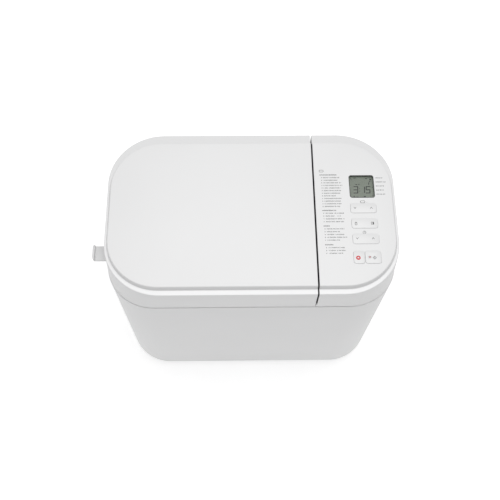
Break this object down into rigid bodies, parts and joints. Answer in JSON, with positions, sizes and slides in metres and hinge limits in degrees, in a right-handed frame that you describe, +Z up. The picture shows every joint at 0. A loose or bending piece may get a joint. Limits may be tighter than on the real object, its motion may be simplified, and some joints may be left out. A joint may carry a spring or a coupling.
{
  "type": "bread machine",
  "caption": "White horizontal bread machine: hinged lid over a baking chamber with removable pan and kneading blade, keypad and display on the right.",
  "frame": {"origin": "on the table, under the middle of the whole object with its cord hook", "axes": "+Z up, -Y the front, +X to the right of a person facing the front"},
  "size_m": [0.431, 0.254, 0.3626],
  "materials": {
    "white_plastic": "fine satin, injection moulded",
    "key_white": "smooth satin keys",
    "inner_plastic": "satin, light grey",
    "base_plastic": "satin, mid grey",
    "black_plastic": "satin black",
    "rubber_grey": "soft grey rubber",
    "black_rubber": "black rubber",
    "silicone": "translucent silicone",
    "bright_aluminium": "bright rolled sheet",
    "galvanised_sheet": "pressed sheet",
    "hinge_steel": "turned or drawn steel",
    "zinc_steel": "zinc plated",
    "heater_sheath": "dark heat-treated sheath",
    "core_steel": "laminated core",
    "cast_aluminium": "die cast",
    "nonstick_coating": "dark non-stick coating",
    "brass_bush": "sintered bush",
    "display_window": "clear window over a grey-green display",
    "display_cell": "display cell and its frame",
    "lamp_red": "red light pipe",
    "board_green": "circuit board and parts"
  },
  "bodies": {
    "case": {"body_shell": "white_plastic", "base_plate": "base_plastic", "foot_pads": "rubber_grey", "case_screws": "zinc_steel", "cord_hook": "white_plastic", "cord_gland": "black_rubber", "top_deck": "inner_plastic", "hinge_brackets": "hinge_steel", "hinge_pins": "hinge_steel", "hinge_cover": "white_plastic", "chamber_liner": "galvanised_sheet", "heater_element": "heater_sheath", "heater_clips": "galvanised_sheet", "chamber_sensor": "hinge_steel", "heat_shield": "galvanised_sheet", "pan_mount_ring": "cast_aluminium", "chassis_plate": "galvanised_sheet", "bearing_housing": "cast_aluminium", "drive_bushes": "brass_bush", "drive_belt": "black_rubber", "motor_brackets": "galvanised_sheet", "motor_stator": "core_steel", "motor_screws": "zinc_steel", "motor_grommets": "black_rubber", "control_housing": "white_plastic", "lcd_window": "display_window", "lcd_module": "display_cell", "start_lamp": "lamp_red", "control_board": "board_green", "tact_switches": "black_plastic", "power_board": "board_green", "power_bracket": "galvanised_sheet"},
    "lid": {"lid_cover": "white_plastic", "steam_vent": "inner_plastic", "lid_frame": "inner_plastic", "lid_seal": "silicone", "lid_liner": "bright_aluminium", "lid_screws": "zinc_steel", "lid_hinge_arms": "hinge_steel"},
    "pan": {"pan_shell": "nonstick_coating", "pan_base_ring": "cast_aluminium", "pan_bush": "brass_bush", "handle_ears": "hinge_steel"},
    "bail": {"pan_handle": "hinge_steel", "handle_grip": "black_plastic"},
    "blade": {"pan_shaft": "hinge_steel", "pan_coupler": "cast_aluminium", "kneading_blade": "nonstick_coating"},
    "drive": {"drive_pulley": "cast_aluminium", "drive_shaft": "hinge_steel", "drive_coupler": "cast_aluminium"},
    "motor": {"motor_rotor": "core_steel", "motor_shaft": "hinge_steel", "motor_pulley": "hinge_steel", "motor_fan": "black_plastic"},
    "menu_key": {"menu_rocker": "key_white"},
    "option_key": {"option_rocker": "key_white"},
    "timer_key": {"timer_rocker": "key_white"},
    "stop": {"stop_key": "key_white"},
    "start": {"start_key": "key_white"}
  },
  "joints": [
    {"name": "lid_hinge", "type": "hinge", "parent": "case", "child": "lid", "pos_m": [-0.0465, 0.121, 0.314], "axis": [-1, 0, 0], "range_deg": [0, 95]},
    {"name": "pan_twist", "type": "hinge", "parent": "case", "child": "pan", "pos_m": [-0.0465, 0, 0.105], "axis": [0, 0, 1], "range_deg": [0, 12]},
    {"name": "handle_swing", "type": "hinge", "parent": "pan", "child": "bail", "pos_m": [-0.0465, 0, 0.258], "axis": [-1, 0, 0], "range_deg": [0, 180]},
    {"name": "motor_spin", "type": "hinge", "parent": "case", "child": "motor", "pos_m": [0.1485, 0, 0.1], "axis": [0, 0, 1], "continuous": true},
    {"name": "drive_spin", "type": "hinge", "parent": "case", "child": "drive", "pos_m": [-0.0465, 0, 0.08], "axis": [0, 0, 1], "continuous": true},
    {"name": "blade_spin", "type": "hinge", "parent": "pan", "child": "blade", "pos_m": [-0.0465, 0, 0.13], "axis": [0, 0, 1], "continuous": true},
    {"name": "menu_rock", "type": "hinge", "parent": "case", "child": "menu_key", "pos_m": [0.1671, 0.0005, 0.3574], "axis": [0, 1, 0], "range_deg": [-2.4, 2.4], "stiffness_Nm_per_rad": 0.4},
    {"name": "option_rock", "type": "hinge", "parent": "case", "child": "option_key", "pos_m": [0.1671, -0.023, 0.3574], "axis": [0, 1, 0], "range_deg": [-2.4, 2.4], "stiffness_Nm_per_rad": 0.4},
    {"name": "timer_rock", "type": "hinge", "parent": "case", "child": "timer_key", "pos_m": [0.1671, -0.0465, 0.3574], "axis": [0, 1, 0], "range_deg": [-2.4, 2.4], "stiffness_Nm_per_rad": 0.4},
    {"name": "stop_press", "type": "slide", "parent": "case", "child": "stop", "axis": [0, 0, -1], "range_m": [0, 0.0006], "stiffness_N_per_m": 400},
    {"name": "start_press", "type": "slide", "parent": "case", "child": "start", "axis": [0, 0, -1], "range_m": [0, 0.0006], "stiffness_N_per_m": 400}
  ],
  "couplings": [
    {"joint": "drive_spin", "follows": "motor_spin", "ratio": 0.14546},
    {"joint": "blade_spin", "follows": "motor_spin", "ratio": 0.14546}
  ]
}
